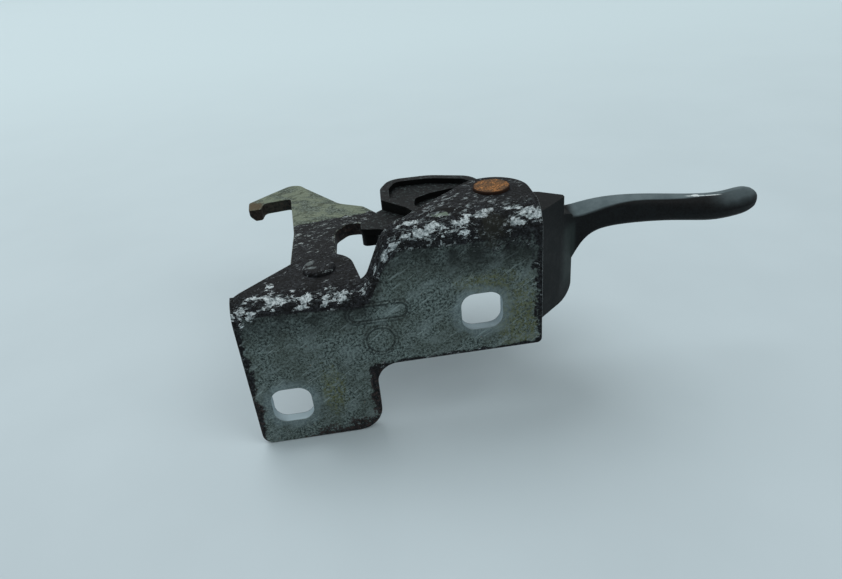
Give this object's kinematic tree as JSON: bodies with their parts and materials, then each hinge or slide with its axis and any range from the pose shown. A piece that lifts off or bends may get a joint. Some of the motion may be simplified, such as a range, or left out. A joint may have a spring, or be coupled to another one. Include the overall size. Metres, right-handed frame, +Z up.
{
  "type": "hood release handle",
  "caption": "Hood safety catch: folded steel bracket with a hooked steel lever and a black plastic release handle, both riveted to its flange.",
  "frame": {"origin": "on the plate's flat mounting face, midway between the two square bolt holes", "axes": "+X along the plate towards the grip, +Y from the mounting face into the part, +Z up towards the flange and along both pivots"},
  "size_m": [0.1238, 0.076, 0.0524],
  "materials": {
    "bare_steel": "worn satin",
    "hook_steel": "worn satin",
    "black_plastic": "satin",
    "rusty_steel": "rusted",
    "black_paint": "worn satin",
    "zinc_steel": "satin",
    "spring_steel": "oiled"
  },
  "bodies": {
    "bracket": {"bracket": "bare_steel", "handle_rivet": "rusty_steel", "hook_rivet": "black_paint", "handle_bush": "zinc_steel", "handle_washer": "zinc_steel", "hook_bush": "zinc_steel", "hook_spacer": "zinc_steel", "hook_washer": "zinc_steel", "hook_spring": "spring_steel"},
    "handle": {"handle": "black_plastic"},
    "hook": {"hook_lever": "hook_steel"}
  },
  "joints": [
    {"name": "handle_turn", "type": "hinge", "parent": "bracket", "child": "handle", "pos_m": [0.028, 0.0128, 0.022], "axis": [0, 0, 1], "range_deg": [0, 6.3]},
    {"name": "hook_swing", "type": "hinge", "parent": "bracket", "child": "hook", "pos_m": [-0.012, 0.0112, 0.0139], "axis": [0, 0, 1], "range_deg": [-11.3, 0], "stiffness_Nm_per_rad": 0.25, "springref_deg": 11.46, "deforming": ["hook_spring"]}
  ],
  "couplings": [
    {"joint": "handle_turn", "follows": "hook_swing", "ratio": -0.55555}
  ]
}
